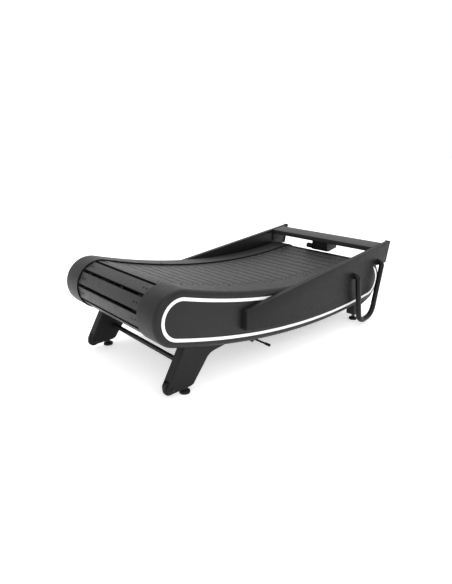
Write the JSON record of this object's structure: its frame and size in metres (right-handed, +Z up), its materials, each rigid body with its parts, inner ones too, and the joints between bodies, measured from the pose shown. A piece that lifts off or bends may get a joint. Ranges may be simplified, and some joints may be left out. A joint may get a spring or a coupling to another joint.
{
  "type": "curved manual treadmill",
  "caption": "Curved manual treadmill: rubber-faced slat belt between racetrack side covers, with front wings, crossbar, lifting handles, raked rear legs, wheels and levelling feet.",
  "frame": {"origin": "on the floor under the middle of the machine's bounding box", "axes": "+X points to the front, where the crossbar is; +Y is the user's left; +Z is up"},
  "size_m": [1.6781, 0.9038, 0.4797],
  "materials": {
    "black_coat": "satin black powder coat, fine texture",
    "shroud_plastic": "moulded black plastic, fine grain, satin",
    "white_trim": "white, satin",
    "slat_rubber": "dark grey rubber-faced slats, matt, worn paler where feet land",
    "rubber": "black, matt",
    "steel": "turned steel, oiled",
    "zinc": "zinc plated",
    "guide_plastic": "pale slippery plastic",
    "pulley_alloy": "machined"
  },
  "bodies": {
    "frame": {"brake_bracket": "black_coat", "brake_pin": "zinc", "brake_spring": "steel", "centre_unit": "shroud_plastic", "centre_unit_plug": "rubber", "cross_member_front": "black_coat", "cross_member_middle": "black_coat", "cross_member_rear": "black_coat", "crossbar": "black_coat", "crossbar_end_left": "black_coat", "crossbar_end_right": "black_coat", "front_bearing_left": "steel", "front_bearing_right": "steel", "front_bracket_left": "black_coat", "front_bracket_right": "black_coat", "guide_strip_left": "guide_plastic", "guide_strip_right": "guide_plastic", "leg_tie_tube": "black_coat", "lift_handle_left": "black_coat", "lift_handle_right": "black_coat", "rear_bearing_left": "steel", "rear_bearing_right": "steel", "rear_leg_left": "black_coat", "rear_leg_right": "black_coat", "side_housing_left": "shroud_plastic", "side_housing_right": "shroud_plastic", "side_rail_left": "black_coat", "side_rail_right": "black_coat", "slat_belt": "slat_rubber", "trim_loop_left": "white_trim", "trim_loop_right": "white_trim", "wheel_axle_left": "zinc", "wheel_axle_right": "zinc", "wing_cover_left": "black_coat", "wing_cover_right": "black_coat", "wing_front_bar_left": "black_coat", "wing_front_bar_right": "black_coat", "wing_panel_left": "black_coat", "wing_panel_right": "black_coat"},
    "rear_pulley_set": {"rear_axle": "steel", "rear_pulley_right": "pulley_alloy", "rear_pulley_left": "pulley_alloy"},
    "front_pulley_set": {"front_axle": "steel", "front_pulley_right": "pulley_alloy", "front_pulley_left": "pulley_alloy"},
    "brake_rocker": {"brake_lever": "black_coat", "brake_pad": "rubber", "brake_foot_cap": "rubber"},
    "transport_wheel_right_body": {"transport_wheel_right": "rubber"},
    "rear_foot_right_body": {"rear_foot_right": "rubber"},
    "front_foot_right_body": {"front_foot_right": "rubber"},
    "transport_wheel_left_body": {"transport_wheel_left": "rubber"},
    "rear_foot_left_body": {"rear_foot_left": "rubber"},
    "front_foot_left_body": {"front_foot_left": "rubber"}
  },
  "joints": [
    {"name": "rear_axle_spin", "type": "hinge", "parent": "frame", "child": "rear_pulley_set", "pos_m": [-0.7196, 0, 0.36017], "axis": [0, 1, 0], "continuous": true},
    {"name": "front_axle_spin", "type": "hinge", "parent": "frame", "child": "front_pulley_set", "pos_m": [0.6804, 0, 0.23032], "axis": [0, 1, 0], "continuous": true},
    {"name": "brake_rocker_pivot", "type": "hinge", "parent": "frame", "child": "brake_rocker", "pos_m": [-0.1896, -0.268, 0.083], "axis": [1, 0, 0], "range_deg": [0, 9], "stiffness_Nm_per_rad": 1.5, "springref_deg": -14.32},
    {"name": "transport_wheel_right_spin", "type": "hinge", "parent": "frame", "child": "transport_wheel_right_body", "pos_m": [-0.7486, -0.326, 0.049], "axis": [0, 1, 0], "continuous": true},
    {"name": "transport_wheel_left_spin", "type": "hinge", "parent": "frame", "child": "transport_wheel_left_body", "pos_m": [-0.7486, 0.326, 0.049], "axis": [0, 1, 0], "continuous": true},
    {"name": "rear_foot_right_level", "type": "slide", "parent": "frame", "child": "rear_foot_right_body", "axis": [0, 0, 1], "range_m": [-0.01, 0.006]},
    {"name": "rear_foot_left_level", "type": "slide", "parent": "frame", "child": "rear_foot_left_body", "axis": [0, 0, 1], "range_m": [-0.01, 0.006]},
    {"name": "front_foot_right_level", "type": "slide", "parent": "frame", "child": "front_foot_right_body", "axis": [0, 0, 1], "range_m": [-0.01, 0.006]},
    {"name": "front_foot_left_level", "type": "slide", "parent": "frame", "child": "front_foot_left_body", "axis": [0, 0, 1], "range_m": [-0.01, 0.006]}
  ],
  "couplings": [
    {"joint": "front_axle_spin", "follows": "rear_axle_spin", "ratio": 1}
  ]
}
